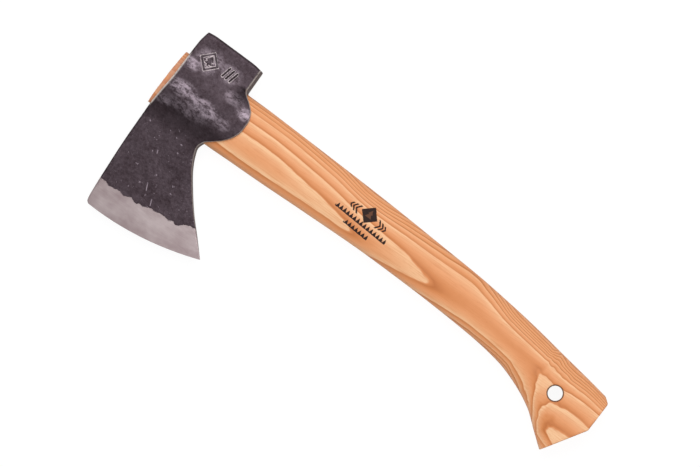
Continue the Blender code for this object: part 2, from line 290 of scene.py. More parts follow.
def lanyard_cutter():
    """Turned cutter: a bore whose rims open out on a quarter circle."""
    half = curve_through(HANDLE_STATIONS, LANYARD_HOLE[0])[2]
    rim = [(LANYARD_RADIUS + LANYARD_RIM * (1 - math.cos(a)), half - LANYARD_RIM * (1 - math.sin(a)))
           for a in (math.radians(15 * step) for step in range(7))]
    rim.append((LANYARD_RADIUS + LANYARD_RIM, half + 4))
    profile = [(0, -half - 4)] + [(r, -z) for r, z in reversed(rim)] + rim + [(0, half + 4)]
    bm = bmesh.new()
    verts = [bm.verts.new((x, 0, z)) for x, z in profile]
    for near, far in zip(verts, verts[1:]):
        bm.edges.new((near, far))
    bmesh.ops.spin(bm, geom=bm.verts[:] + bm.edges[:], axis=(0, 0, 1), angle=2 * math.pi, steps=64,
                   use_merge=True)
    bmesh.ops.remove_doubles(bm, verts=bm.verts, dist=0.001)
    bmesh.ops.translate(bm, vec=(*LANYARD_HOLE, 0), verts=bm.verts)
    return as_object("lanyard_cutter", bm)


def wedge_shape(name, depth, grow, overrun):
    """Tapered plate on the eye's middle plane; overrun carries it past the top and both ends."""
    thick_top, thick_end = (value + grow for value in WEDGE_HALF_THICKNESS)
    bm = bmesh.new()
    bmesh.ops.create_cube(bm, size=2)
    for vert in bm.verts:
        y = EYE_CENTRE_Y + math.copysign(WEDGE_HALF_WIDTH + overrun, vert.co.y)
        at_top = vert.co.x < 0
        x = HANDLE_TOP_X + HANDLE_TOP_SLOPE * y - overrun if at_top else HANDLE_TOP_X + depth
        vert.co = (x, y, math.copysign(thick_top if at_top else thick_end, vert.co.z))
    return as_object(name, bm)


def clip_slot(grow):
    """Box around the CAD clip, open at the top of the wood."""
    low, high = (Vector(corner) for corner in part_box("steel_clip"))
    low, high = (low - ORIGIN) / MM, (high - ORIGIN) / MM
    outline = [(low.x - 5, low.y - grow), (high.x + grow, low.y - grow), (high.x + grow, high.y + grow),
               (low.x - 5, high.y + grow)]
    return prism("clip_slot", outline, high.z + grow)


def make_handle():
    top = HANDLE_TOP_X + HANDLE_TOP_SLOPE * EYE_CENTRE_Y
    places = [top] + evenly(top + 2 * HANDLE_RING_STEP, HANDLE_STATIONS[-1][0], HANDLE_RING_STEP)
    handle = oval_loft("handle_hickory", places, 0.0, HANDLE_TOP_SLOPE)
    for cutter in (knob_cutter(), lanyard_cutter(), wedge_shape("kerf", KERF_DEPTH, FIT_GAP, 4.0),
                   clip_slot(FIT_GAP)):
        cut(handle, cutter)
    remesh = handle.modifiers.new("even skin", "REMESH")
    remesh.mode = "VOXEL"
    remesh.voxel_size = HANDLE_VOXEL * MM
    sand = handle.modifiers.new("sanded edges", "SMOOTH")
    sand.factor = 0.5
    sand.iterations = 5
    settle(handle)
    shade_by_angle(handle, 50)
    return handle


# ---------------------------------------------------------------- head
def head_row(share):
    """Ends, bow, crown, cheek and bevel half thickness of a row; share runs from poll to edge."""
    poll_y, heel_y = HEAD_UNDERSIDE[0][0], HEAD_UNDERSIDE[-1][0]
    y_right = mix(poll_y, heel_y, share)
    bow, crown, bevel = 0.0, 0.0, 99.0
    if y_right > BLADE_START_Y:
        rise = ease(poll_y - POLL_CROWN_DEPTH, poll_y, y_right)
        y_left = y_right + rise * (HEAD_TOP_LINE[0][0] - poll_y)
        crown = POLL_CROWN * rise
        cheek = curve_through(CHEEK_HALF_THICKNESS, y_right)
    else:
        blade = (BLADE_START_Y - y_right) / (BLADE_START_Y - heel_y)
        y_left = mix(BLADE_START_Y, HEAD_TOP_LINE[-1][0], blade)
        bow = EDGE_BOW * ease(0, BEVEL_START, blade)
        cheek = curve_through(BLADE_HALF_THICKNESS, blade)
        at_line = curve_through(BLADE_HALF_THICKNESS, BEVEL_START)
        bevel = mix(at_line, EDGE_HALF_THICKNESS, (blade - BEVEL_START) / (1 - BEVEL_START))
    left = Vector((curve_through(HEAD_TOP_LINE, y_left), y_left))
    right = Vector((curve_through(HEAD_UNDERSIDE, y_right), y_right))
    return left, right, bow, crown, cheek, bevel


def hammer_marks(x, y, side):
    """Uneven forged surface: slow waves, shallow dents and a little roughness, in millimetres."""
    spot = Vector((x, y, 40.0 * side))
    waves = 0.16 * noise.noise(spot * 0.075) + 0.07 * noise.noise(spot * 0.19)
    nearest = noise.voronoi(spot * 0.17)[0][0]
    dents = -0.10 * (1 - ease(0.1, 0.75, nearest))
    grain = 0.035 * noise.noise(spot * 0.6) + 0.03 * noise.noise(spot * 1.5)
    return waves + dents + grain


def from_stroke(x, y, start, end):
    """Distance from a straight stroke."""
    along = Vector(end) - Vector(start)
    to_spot = Vector((x, y)) - Vector(start)
    share = min(max(to_spot.dot(along) / along.length_squared, 0.0), 1.0)
    return (to_spot - along * share).length


def stamped(x, y):
    """1 in the bottom of the stamped marks, 0 on the cheek: a lozenge with a conifer, and three strokes."""
    centre_x, centre_y, reach = STAMP_LOZENGE
    dx, dy = x - centre_x, y - centre_y
    if abs(dx) > 24 or abs(dy) > 9:
        return 0.0
    outline = abs(abs(dx) + abs(dy) - reach) * 0.7
    tiers = max(min(tip - dy, dy - foot, (tip - dy) * 0.75 - abs(dx))
                for tip, foot in ((3.9, 0.6), (1.9, -1.7)))
    trunk = min(-0.9 - dy, dy + 3.0, 0.45 - abs(dx))
    tree = max(tiers, trunk)
    strokes = min(from_stroke(x, y, *stroke) for stroke in STAMP_STROKES)
    return max(1 - ease(0.3, 0.95, min(outline, strokes)), ease(-0.35, 0.15, tree))


def rounding(distance, radius):
    """How far a corner of this radius drops at a distance from the border."""
    if distance >= radius:
        return 0.0
    return radius - math.sqrt(max(radius ** 2 - (radius - distance) ** 2, 0.0))


def row_places(width, radius):
    """Places across a row: four in each rounded corner, the rest even."""
    corner = [radius * (1 - math.cos(math.radians(90 * i / 4))) for i in range(4)]
    inner = evenly(radius, width - radius, (width - 2 * radius) / (HEAD_COLUMNS - 8))
    return corner + inner + [width - place for place in reversed(corner)]


HEAD_TRAITS = ("ground", "stamp", "edge_gap")
UNGROUND = -0.2               # depth of grinding given to the side walls, which keep their scale


def head_grid(side):
    """Rows of (position, traits) over one cheek; side is 1 for the upper one and -1 below."""
    poll_y, heel_y = HEAD_UNDERSIDE[0][0], HEAD_UNDERSIDE[-1][0]
    length = poll_y - heel_y
    corner_rows = [POLL_CORNER * (1 - math.cos(math.radians(90 * i / 5))) for i in range(5)]
    depths = corner_rows + evenly(POLL_CORNER, length, HEAD_ROW_STEP)
    grid = []
    for depth in depths:
        left, right, bow, crown, cheek, bevel = head_row(depth / length)
        width = right.x - left.x
        radius = min(HEAD_CORNER, min(cheek, bevel) * 0.45)
        row = []
        for across in row_places(width, radius):
            along = across / width
            x = left.x + across
            roll_off = max(abs(2 * along - 1) - POLL_FLAT, 0) / (1 - POLL_FLAT)
            y = mix(left.y, right.y, along) + crown * (1 - roll_off ** 2)
            y -= bow * (x - left.x) * (right.x - x)
            half = cheek
            lug = (ease(LUG_START_X, LUG_END_X, x) * ease(BLADE_START_Y, 4, y)
                   * (1 - ease(LUG_FULL_Y, POLL_FULL_Y, y)))
            if lug > 0:
                half = mix(half, min(half, oval_half_thickness(x, y, EYE_GAP) + LUG_WALL), lug)
            stamp = stamped(x, y) if side > 0 else 0.0
            forged = half + hammer_marks(x, y, side) * (1 - 0.6 * lug) - STAMP_DEPTH * stamp
            ground = forged - bevel + BEVEL_LEAN * (1 - min(x / 50, 1)) * min(bevel / 2.5, 1)
            drop = rounding(min(across, width - across), radius) + rounding(depth, POLL_CORNER)
            z = side * (forged - max(ground, 0.0) - drop)
            row.append((Vector((x, y, z)), (ground, stamp, length - depth)))
        grid.append(row)
    return grid


def border(grid):
    """The grid's outermost points in order round the head."""
    rows, columns = len(grid), len(grid[0])
    loop = [(0, j) for j in range(columns)] + [(i, columns - 1) for i in range(1, rows)]
    loop += [(rows - 1, j) for j in range(columns - 2, -1, -1)] + [(i, 0) for i in range(rows - 2, 0, -1)]
    return loop


def make_head():
    grids = {side: head_grid(side) for side in (1, -1)}
    bm = bmesh.new()
    verts = {side: [[bm.verts.new(point) for point, _ in row] for row in grid]
             for side, grid in grids.items()}
    for table in verts.values():
        for upper, lower in zip(table, table[1:]):
            for j in range(len(upper) - 1):
                bm.faces.new((upper[j], upper[j + 1], lower[j + 1], lower[j]))
    loop = border(grids[1])
    loops = [[verts[1][i][j] for i, j in loop]]
    for step in range(1, WALL_LOOPS):
        ring = []
        for i, j in loop:
            high, low = grids[1][i][j][0], grids[-1][i][j][0]
            spot = high.lerp(low, step / WALL_LOOPS)
            depth = min(1.0, (high.z - low.z) / 6.0)
            wobble = 0.12 * depth * noise.noise(spot * 0.22) * math.sin(math.pi * step / WALL_LOOPS)
            ring.append(bm.verts.new(spot + Vector((wobble, wobble, 0))))
        loops.append(ring)
    loops.append([verts[-1][i][j] for i, j in loop])
    for upper, lower in zip(loops, loops[1:]):
        for i in range(len(loop)):
            j = (i + 1) % len(loop)
            bm.faces.new((upper[i], upper[j], lower[j], lower[i]))
    head = as_object("axe_head_forged", bm)
    cut(head, oval_loft("eye", evenly(HANDLE_TOP_X - 12, LUG_END_X + 30, 3.0), EYE_GAP))
    store_traits(head, [entry for grid in grids.values() for row in grid for entry in row])
    shade_by_angle(head, 35)
    return head


def store_traits(head, entries):
    """Keep the traits of the nearest grid point on every vertex, for the material to read."""
    memory = kdtree.KDTree(len(entries))
    for i, (point, _) in enumerate(entries):
        memory.insert(to_row(point), i)
    memory.balance()
    traits = [head.data.attributes.new(name, "FLOAT", "POINT") for name in HEAD_TRAITS]
    wear_and_highlight = head.data.attributes.new("rim_wear_and_highlight", "FLOAT", "POINT")
    for vert in head.data.vertices:
        _, index, away = memory.find(vert.co)
        ground, stamp, gap = entries[index][1]
        if away > WALL_AWAY * MM and gap > EDGE_ZONE:
            ground = UNGROUND
        for trait, value in zip(traits, (ground, stamp, gap)):
            trait.data[vert.index].value = value
        down_the_wall = ease(*WORN_AND_LIT_DEPTH, away / MM)
        wear_and_highlight.data[vert.index].value = rim_wear_and_highlight((vert.co - ORIGIN) / MM) * (1 - down_the_wall)


def rim_wear_and_highlight(point):
    """How much the steel is worn bright and painted with a rim highlight: 1 at the rims of the lugs, poll
    and eye, fading inwards.
    """
    x, y, _ = point
    if y < -44:
        return 0.0
    to_right = abs(curve_through(HEAD_UNDERSIDE, y) - x)
    to_left = abs(x - curve_through(HEAD_TOP_LINE, y))
    under_poll = 0.25 * ease(39.5, 42, y) * (1 - ease(0.1, 0.9, to_right))
    lug_rim = 0.6 * (1 - ease(0.1, 0.8, to_right)) * ease(6, 14, y)
    beard = 0.45 * (1 - ease(0.1, 0.6, to_right))
    eye_rim = (1 - ease(0.45, 1.25, to_left)) * ease(0, 4, y) * (1 - ease(38, 44, y))
    return max(under_poll, lug_rim, beard, eye_rim)


# ---------------------------------------------------------------- wedge and clip
def make_wedge():
    wedge = wedge_shape("wedge_hickory", WEDGE_DEPTH, 0.0, 0.0)
    cut(wedge, clip_slot(FIT_GAP))
    soften(wedge, 0.25)
    return wedge


def make_clip():
    clip = bpy.data.objects.new("clip_steel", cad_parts["steel_clip"].data.copy())
    clip.data.materials.clear()
    bpy.context.scene.collection.objects.link(clip)
    soften(clip, 0.15)
    return clip


def soften(obj, width):
    bevel = obj.modifiers.new("eased edges", "BEVEL")
    bevel.width = width * MM
    bevel.segments = 2
    bevel.limit_method = "ANGLE"
    settle(obj)
    shade_by_angle(obj, 40)


# ---------------------------------------------------------------- materials
class Graph:
    """Short names for building one material's nodes."""

    def __init__(self, name):
        self.material = bpy.data.materials.new(name)
        self.material.use_nodes = True
        self.tree = self.material.node_tree
        self.shader = self.tree.nodes["Principled BSDF"]

    def node(self, kind, inputs=(), **settings):
        made = self.tree.nodes.new(kind)
        for key, value in settings.items():
            setattr(made, key, value)
        for key, value in dict(inputs).items():
            self.feed(made.inputs[key], value)
        return made

    def feed(self, socket, value):
        if isinstance(value, bpy.types.NodeSocket):
            self.tree.links.new(value, socket)
        else:
            socket.default_value = value

    def math(self, operation, first, second=0.0, third=0.0):
        made = self.node("ShaderNodeMath", {0: first, 1: second, 2: third}, operation=operation)
        return made.outputs[0]

    def add(self, *terms):
        total = terms[0]
        for term in terms[1:]:
            total = self.math("ADD", total, term)
        return total

    def scaled(self, value, factor, offset=0.0):
        return self.math("MULTIPLY_ADD", value, factor, offset)

    def smooth(self, value, low, high):
        made = self.node("ShaderNodeMapRange", {"Value": value, "From Min": low, "From Max": high},
                         interpolation_type="SMOOTHSTEP")
        return made.outputs[0]

    def noise(self, place, scale, detail=3.0, roughness=0.5, distortion=0.0):
        made = self.node("ShaderNodeTexNoise", {"Vector": place, "Scale": scale, "Detail": detail,
                                                "Roughness": roughness, "Distortion": distortion})
        return made.outputs["Fac"]

    def stretched(self, place, factors):
        made = self.node("ShaderNodeVectorMath", {0: place, 1: factors}, operation="MULTIPLY")
        return made.outputs["Vector"]

    def ramp(self, value, stops, smooth=True):
        made = self.node("ShaderNodeValToRGB", {"Fac": value})
        made.color_ramp.interpolation = "EASE" if smooth else "LINEAR"
        elements = made.color_ramp.elements
        while len(elements) < len(stops):
            elements.new(0.5)
        for element, (position, colour) in zip(elements, stops):
            element.position = position
            element.color = (*colour, 1.0)
        return made.outputs["Color"]

    def blend(self, share, first, second):
        made = self.node("ShaderNodeMix", data_type="RGBA")
        self.feed(made.inputs["Factor"], share)
        for socket, value in ((made.inputs[6], first), (made.inputs[7], second)):
            self.feed(socket, value if isinstance(value, bpy.types.NodeSocket) else (*value, 1.0))
        return made.outputs[2]

    def curve(self, value, low, high, points, bottom, top):
        """A smooth curve of points (place, value) over low..high, with values between bottom and top."""
        share = self.math("DIVIDE", self.math("SUBTRACT", value, low), high - low)
        made = self.node("ShaderNodeFloatCurve", {"Value": share})
        knots = made.mapping.curves[0].points
        while len(knots) < len(points):
            knots.new(0.5, 0.5)
        for knot, (place, level) in zip(knots, points):
            knot.location = ((place - low) / (high - low), (level - bottom) / (top - bottom))
        made.mapping.update()
        return self.scaled(made.outputs[0], top - bottom, bottom)

    def design_place(self):
        """The point shaded, in millimetres of the design axes."""
        place = self.node("ShaderNodeTexCoord").outputs["Object"]
        shifted = self.node("ShaderNodeVectorMath", {0: place, 1: tuple(ORIGIN)}, operation="SUBTRACT")
        return self.stretched(shifted.outputs["Vector"], (1 / MM, 1 / MM, 1 / MM))

    def split(self, place):
        return self.node("ShaderNodeSeparateXYZ", {0: place}).outputs

    def bump(self, height, distance_mm):
        made = self.node("ShaderNodeBump", {"Height": height, "Strength": 1.0, "Distance": distance_mm * MM})
        self.tree.links.new(made.outputs["Normal"], self.shader.inputs["Normal"])


# ---------------------------------------------------------------- wood
GRAIN_SPAN = (-20, 360)       # the x over which the grain's curves run
# The tree's pith ran below the handle: its depth under the upper skin and its height, along x.
PITH_DEPTH = ((-10, 28.5), (60, 27.5), (85, 27.4), (105, 27.8), (128, 28.2), (145, 28.5), (178, 30.2),
              (202, 31.3), (225, 31.9), (265, 32.0), (285, 31.7), (293, 31.3), (300, 30.1), (307, 28.5),
              (315, 26.6), (320, 26.4), (325, 26.2), (340, 25.8))
PITH_HEIGHT = ((-10, 13), (60, 12.8), (100, 12.3), (120, 11.5), (148, 9.7), (180, 10.4), (205, 11.2),
               (240, 13.2), (250, 12.5), (265, 10.7), (285, 8), (294, 6.1), (296, 2.8), (298, -0.5),
               (300, -3.6), (304, -8.4), (308, -12.4), (316, -19), (325, -22), (340, -26.5))
# How much the rings crowd together above and below the pith; they spread out where it is below 1.
CROWDING_ABOVE = ((-10, 1), (120, 1), (148, 1.08), (180, 0.97), (205, 0.9), (225, 0.9), (240, 1.1),
                  (250, 1.3), (265, 1.57), (285, 1.66), (292, 1.66), (294, 1.54), (296, 1.22), (298, 1.0),
                  (300, 0.87), (303, 0.81), (308, 0.74), (325, 0.57), (340, 0.55))
CROWDING_BELOW = ((-10, 1.3), (100, 1.35), (120, 1.5), (148, 1.9), (180, 1.9), (205, 1.75), (240, 1.48),
                  (270, 1.6), (280, 1.33), (290, 1.05), (294, 0.95), (296, 1.13), (298, 1.35), (300, 1.6),
                  (308, 1.6), (340, 1.5))
BACK_CROWDING = (290, 5, 0.0155)      # past this x and above this y they crowd more, by this slope
# Radius and number of the rings.
RING_RADII = ((6, -10), (24.6, -2), (26.6, -1), (28.5, 0), (31.3, 1), (34.1, 2), (35.6, 3), (36.8, 4),
              (37.9, 5), (39, 6), (50, 12))
THICKNESS_SHARE = 0.1         # how much the height in the wood counts: the rings stand nearly upright
SKIN_HEIGHT = 9.8             # height of the wood's upper skin above the middle plane
WAVY_GRAIN = (285, 300, 310, 325)     # the grain grows wavy, and calms down again, between these x
PALE_WOOD = (0.98, 0.60, 0.34)
WARM_WOOD = (0.85, 0.37, 0.165)
RICH_WOOD = (0.72, 0.265, 0.092)
LINE_WOOD = (0.56, 0.175, 0.05)
LATE_WOOD = (0.47, 0.16, 0.045)
END_WOOD = (0.58, 0.25, 0.15)
BURNT = (0.030, 0.016, 0.014)
# brown of the burnt mark, used also for the painted shade in the lanyard hole and on the handle's front and
# back
BURNT_AND_SHADE_BROWN = (0.14, 0.060, 0.034)
BORE_SHADE = (0.45, 0.95)     # the painted shade round the lanyard hole fades between these, past its radius

MARK_CENTRE = (151.6, 17.4)
MARK_TILT = math.radians(-3.8)
# The rest is measured from the middle of the mark.
LOZENGE_CENTRE = (1.2, 6.9)
LOZENGE_REACH = 6.1
CONIFER_TIERS = ((3.6, 0.6, 1.5), (1.8, -1.8, 2.2))    # tip, foot and half width, from the lozenge's centre
CHEVRONS = ((9.2, 3.0), (11.4, 2.5), (13.4, 1.9))      # tip and half height, on both sides of the lozenge
CHEVRON_HEIGHT, CHEVRON_HALF_STROKE = 5.6, 0.5
TOOTH_ROWS = ((-1.3, 2.9, 19.5), (-6.2, 2.7, 9.1))     # foot, height and half length
TOOTH_PERIOD = 2.6


def wood_rings(g, place):
    """Ring number at a point: distance from a pith that wanders below the handle, in growth rings."""
    x, y, z = g.split(place)
    start, full, calming, calm = WAVY_GRAIN
    wiggle = g.math("MULTIPLY", g.smooth(x, start, full), g.smooth(x, calm, calming))
    drift = g.noise(g.stretched(place, (0.02, 0.05, 0.05)), 1.0, 1.0)
    ripple = g.noise(g.stretched(place, (0.13, 0.16, 0.05)), 1.0, 1.0)
    depth = g.curve(x, *GRAIN_SPAN, PITH_DEPTH, 15, 35)
    height = g.curve(x, *GRAIN_SPAN, PITH_HEIGHT, -40, 20)
    across = g.math("SUBTRACT", y, height)
    below = inside(g, across, 0.5)
    crowding = g.node("ShaderNodeMix", {0: below, 2: g.curve(x, *GRAIN_SPAN, CROWDING_ABOVE, 0, 3),
                                        3: g.curve(x, *GRAIN_SPAN, CROWDING_BELOW, 0, 3)}).outputs[0]
    from_x, from_y, slope = BACK_CROWDING
    far = g.math("MAXIMUM", g.scaled(x, slope, -from_x * slope), 0.0)
    behind = g.math("MAXIMUM", g.scaled(y, 1.0, -from_y), 0.0)
    across = g.math("MULTIPLY_ADD", across, crowding, g.math("MULTIPLY", far, behind))
    above = g.add(g.scaled(z, THICKNESS_SHARE, -THICKNESS_SHARE * SKIN_HEIGHT), depth)
    radius = g.math("SQRT", g.add(g.math("MULTIPLY", across, across), g.math("MULTIPLY", above, above)))
    sway = g.math("MULTIPLY", g.scaled(ripple, 1.0, -0.5), g.scaled(wiggle, 1.3, 0.2))
    return g.curve(g.add(radius, g.scaled(drift, 0.4, -0.2), sway), 0, 50, RING_RADII, -10, 12)


def inside(g, value, softness=0.12):
    """1 where the value is below 0."""
    return g.smooth(value, softness, -softness)


def teeth(g, x, y, foot, height, half_length):
    """1 inside a row of pointed teeth of limited length, standing on a thin rule."""
    swing = g.math("PINGPONG", g.scaled(x, 1.0, 500.0), TOOTH_PERIOD / 2)
    over = g.add(g.scaled(swing, -2 * height / TOOTH_PERIOD, -foot), y)
    under = g.scaled(y, -1.0, foot)
    reach = g.scaled(g.math("ABSOLUTE", x), 1.0, -half_length)
    both = g.math("MULTIPLY", inside(g, over, 0.25), inside(g, g.scaled(under, 1.0, -0.45)))
    return g.math("MULTIPLY", both, inside(g, reach))


def chevron(g, beside, y, tip_x, half_height):
    """1 on a V on its side that points away from the middle of the mark."""
    upright = g.math("ABSOLUTE", y)
    from_line = g.math("ABSOLUTE", g.add(beside, g.scaled(upright, 0.7), -tip_x))
    stroke = inside(g, g.scaled(from_line, 0.82, -CHEVRON_HALF_STROKE))
    return g.math("MULTIPLY", stroke, inside(g, g.scaled(upright, 1.0, -half_height)))


def bough(g, x, y, tip, foot, half_width):
    """1 inside a triangle that points up: one tier of a conifer."""
    allowed = g.scaled(y, -half_width / (tip - foot), half_width * tip / (tip - foot))
    side = inside(g, g.math("SUBTRACT", g.math("ABSOLUTE", x), allowed))
    return g.math("MULTIPLY", side, inside(g, g.scaled(y, -1.0, foot)))


def union(g, shapes):
    """1 where any of the shapes is 1."""
    joined = shapes[0]
    for shape in shapes[1:]:
        joined = g.math("MAXIMUM", joined, shape)
    return joined


def burnt_mark(g, place):
    """A plain burnt-in mark: a lozenge with a conifer between chevrons, over two toothed borders.

    Returns where the wood is burnt and where the conifer is.
    """
    x, y, z = g.split(place)
    dx, dy = g.scaled(x, 1.0, -MARK_CENTRE[0]), g.scaled(y, 1.0, -MARK_CENTRE[1])
    cos, sin = math.cos(MARK_TILT), math.sin(MARK_TILT)
    wobble = g.scaled(g.noise(place, 0.9, 2.0), 0.5, -0.25)
    x = g.add(g.scaled(dx, cos), g.scaled(dy, sin), wobble)
    y = g.add(g.scaled(dy, cos), g.scaled(dx, -sin), wobble)
    lozenge_x, lozenge_y = g.scaled(x, 1.0, -LOZENGE_CENTRE[0]), g.scaled(y, 1.0, -LOZENGE_CENTRE[1])
    outline = g.add(g.math("ABSOLUTE", lozenge_x), g.math("ABSOLUTE", lozenge_y), -LOZENGE_REACH)
    tree = union(g, [bough(g, lozenge_x, lozenge_y, *tier) for tier in CONIFER_TIERS])
    beside, beside_y = g.math("ABSOLUTE", lozenge_x), g.scaled(y, 1.0, -CHEVRON_HEIGHT)
    chevrons = [chevron(g, beside, beside_y, tip_x, half_height) for tip_x, half_height in CHEVRONS]
    borders = [teeth(g, x, y, *row) for row in TOOTH_ROWS]
    burnt = union(g, [inside(g, outline, 0.2), *chevrons, *borders])
    upper_side = g.smooth(z, 2.0, 5.0)
    return g.math("MULTIPLY", burnt, upper_side), g.math("MULTIPLY", tree, upper_side)


def end_grain(g, place):
    """1 on the sawn end faces, at the top of the tongue and at the knob."""
    normal = g.node("ShaderNodeNewGeometry").outputs["True Normal"]
    along = g.math("ABSOLUTE", g.split(normal)[0])
    x = g.split(place)[0]
    ends = g.math("ADD", inside(g, x, 5.0), g.smooth(x, 305.0, 318.0))
    return g.math("MULTIPLY", g.smooth(along, 0.62, 0.8), ends)


def ring_colour(g, rings):
    """Each ring runs from a dark line through warm to pale wood; the back's outer rings are richer."""
    part = g.math("FRACT", rings)
    number = g.math("FLOOR", rings)
    colour = g.ramp(part, ((0.0, RICH_WOOD), (0.05, LINE_WOOD), (0.16, RICH_WOOD), (0.36, WARM_WOOD),
                           (0.62, mix_colour(WARM_WOOD, PALE_WOOD, 0.35)), (0.86, PALE_WOOD),
                           (0.97, PALE_WOOD), (1.0, RICH_WOOD)), smooth=False)
    tone = g.node("ShaderNodeTexWhiteNoise", {"W": number}, noise_dimensions="1D").outputs["Value"]
    colour = g.blend(g.scaled(tone, 0.2), colour, WARM_WOOD)
    colour = g.blend(g.scaled(g.smooth(rings, 0.8, 4.0), 0.42), colour, RICH_WOOD)
    late = g.math("MULTIPLY", g.smooth(part, 0.4, 0.1), g.smooth(rings, 1.6, 3.2))
    return g.blend(g.scaled(late, 0.55), colour, LATE_WOOD)


def stained_and_shaded(g, place, sawn, colour):
    """Darker end faces, with painted shade on the narrow front and back of the handle and in the lanyard
    hole.
    """
    colour = g.blend(g.scaled(sawn, 0.55), colour, END_WOOD)
    colour = g.blend(g.scaled(top_stain(g, place), 0.75), colour, END_WOOD)
    # painted shade: the narrow front and back are darkened as if turned away from the lamps
    colour = g.blend(g.scaled(painted_edge_shade(g, place), 0.4), colour, mix_colour(LINE_WOOD, BURNT_AND_SHADE_BROWN, 0.3))
    # painted shade: the bore and its eased rims are darkened as a recess would be
    return g.blend(g.scaled(bore(g, place), 0.85), colour, BURNT_AND_SHADE_BROWN)


def wood_material():
    g = Graph("hickory")
    place = g.design_place()
    colour = ring_colour(g, wood_rings(g, place))
    clouds = g.noise(g.stretched(place, (0.018, 0.09, 0.09)), 1.0, 3.0)
    colour = g.blend(g.scaled(g.smooth(clouds, 0.40, 0.75), 0.35), colour, WARM_WOOD)
    fibre = g.noise(g.stretched(place, (0.06, 1.3, 1.3)), 1.0, 3.0, 0.6)
    colour = g.blend(g.scaled(g.smooth(fibre, 0.42, 0.8), 0.55), colour, RICH_WOOD)
    pores = g.noise(g.stretched(place, (0.35, 3.2, 3.2)), 1.0, 1.0)
    colour = g.blend(g.scaled(g.smooth(pores, 0.66, 0.78), 0.3), colour, LINE_WOOD)
    sawn = end_grain(g, place)
    colour = stained_and_shaded(g, place, sawn, colour)
    burnt, tree = burnt_mark(g, place)
    colour = g.blend(burnt, colour, g.blend(tree, BURNT, BURNT_AND_SHADE_BROWN))
    g.feed(g.shader.inputs["Base Color"], colour)
    dullness = g.add(g.scaled(fibre, 0.2, 0.42), g.scaled(sawn, 0.2), g.scaled(burnt, 0.3))
    g.feed(g.shader.inputs["Roughness"], dullness)
    g.feed(g.shader.inputs["Specular IOR Level"], 0.25)
    g.bump(g.add(g.scaled(fibre, 0.4), g.scaled(pores, 0.3), g.scaled(burnt, -1.0)), 0.05)
    return g.material


def bore(g, place):
    """1 inside the lanyard hole and on its eased rims."""
    x, y, _ = g.split(place)
    dx, dy = g.scaled(x, 1.0, -LANYARD_HOLE[0]), g.scaled(y, 1.0, -LANYARD_HOLE[1])
    away = g.math("SQRT", g.add(g.math("MULTIPLY", dx, dx), g.math("MULTIPLY", dy, dy)))
    return g.smooth(away, LANYARD_RADIUS + BORE_SHADE[1], LANYARD_RADIUS + BORE_SHADE[0])


def painted_edge_shade(g, place):
    """Painted shade on the narrow front and back of the handle, where the surface turns away from the lamps
    above; patchy along its length.
    """
    height = g.math("ABSOLUTE", g.split(place)[2])
    patchy = g.noise(g.stretched(place, (0.03, 0.1, 0.1)), 1.0, 2.0)
    return g.math("MULTIPLY", g.smooth(height, 5.5, 2.0), g.scaled(patchy, 0.6, 0.6))


def top_stain(g, place):
    """Strength of the reddish streaks on the tongue's bare end above the head."""
    x = g.split(place)[0]
    streaks = g.noise(g.stretched(place, (0.25, 0.2, 0.9)), 1.0, 3.0)
    return g.math("MULTIPLY", g.smooth(x, 7.0, 4.5), g.smooth(streaks, 0.25, 0.6))


def mix_colour(first, second, share):
    return tuple(mix(a, b, share) for a, b in zip(first, second))


# ---------------------------------------------------------------- steel
SCALE_DARK = (0.034, 0.022, 0.027)
SCALE_LIGHT = (0.098, 0.074, 0.088)
# colour of worn steel, used also for the painted highlight along the ridge
SCUFF_AND_HIGHLIGHT = (0.38, 0.31, 0.36)
# bright steel of worn rims, used also for the painted rim highlight
BARE_STEEL_AND_HIGHLIGHT = (0.72, 0.64, 0.60)
GROUND_STEEL = (0.42, 0.325, 0.33)
STAMP_DARK = (0.012, 0.008, 0.01)
GRAZING_TINT = (0.55, 0.48, 0.42)      # the side walls mirror less of the white floor
SCUFF_AND_HIGHLIGHT_PATCHES = (             # x, y, reach along x and y, strength: where the cheek is worn, and, along the ridge between the eye and the blade, painted highlight as well
    (15, 21, 10, 5, 1.0),
    (31, 18.5, 13, 5, 1.0),
    (24, 12, 15, 4, 0.35),
    (10, 37, 6, 4, 0.9),
    (54, 30, 5, 4, 1.0),
    (44, 34, 7, 4, 0.55),
    (18, 44, 9, 8, 0.55),
    (33, 45, 8, 6, 0.45),
    (46, 17, 6, 4, 0.5),
    (8, 9, 6, 3, 0.5),
)
SCRATCHES = (((29.2, -38.6), (31.4, -43.4)), ((37.2, -45.6), (38.7, -49.6)), ((22.8, -18.6), (23.6, -20.8)))


def scratch(g, x, y, start, end):
    """1 on a thin straight scratch across the blade that fades towards its sides."""
    along = (Vector(end) - Vector(start)).normalized()
    length = (Vector(end) - Vector(start)).length
    run = g.add(g.scaled(x, along.x, -along.dot(start)), g.scaled(y, along.y))
    off = g.math("ABSOLUTE", g.add(g.scaled(x, -along.y, along.y * start[0] - along.x * start[1]),
                                   g.scaled(y, along.x)))
    within = g.math("MULTIPLY", g.smooth(run, -0.3, 0.3), g.smooth(run, length + 0.3, length - 0.3))
    return g.math("MULTIPLY", within, g.smooth(off, 0.5, 0.1))


def patches(g, x, y):
    """Strength of the worn patches at a point; along the ridge they are painted highlight as well as worn
    steel.
    """
    strengths = []
    for centre_x, centre_y, reach_x, reach_y, strength in SCUFF_AND_HIGHLIGHT_PATCHES:
        dx = g.scaled(x, 1 / reach_x, -centre_x / reach_x)
        dy = g.scaled(y, 1 / reach_y, -centre_y / reach_y)
        away = g.add(g.math("MULTIPLY", dx, dx), g.math("MULTIPLY", dy, dy))
        strengths.append(g.scaled(g.smooth(away, 1.6, 0.1), strength))
    return union(g, strengths)


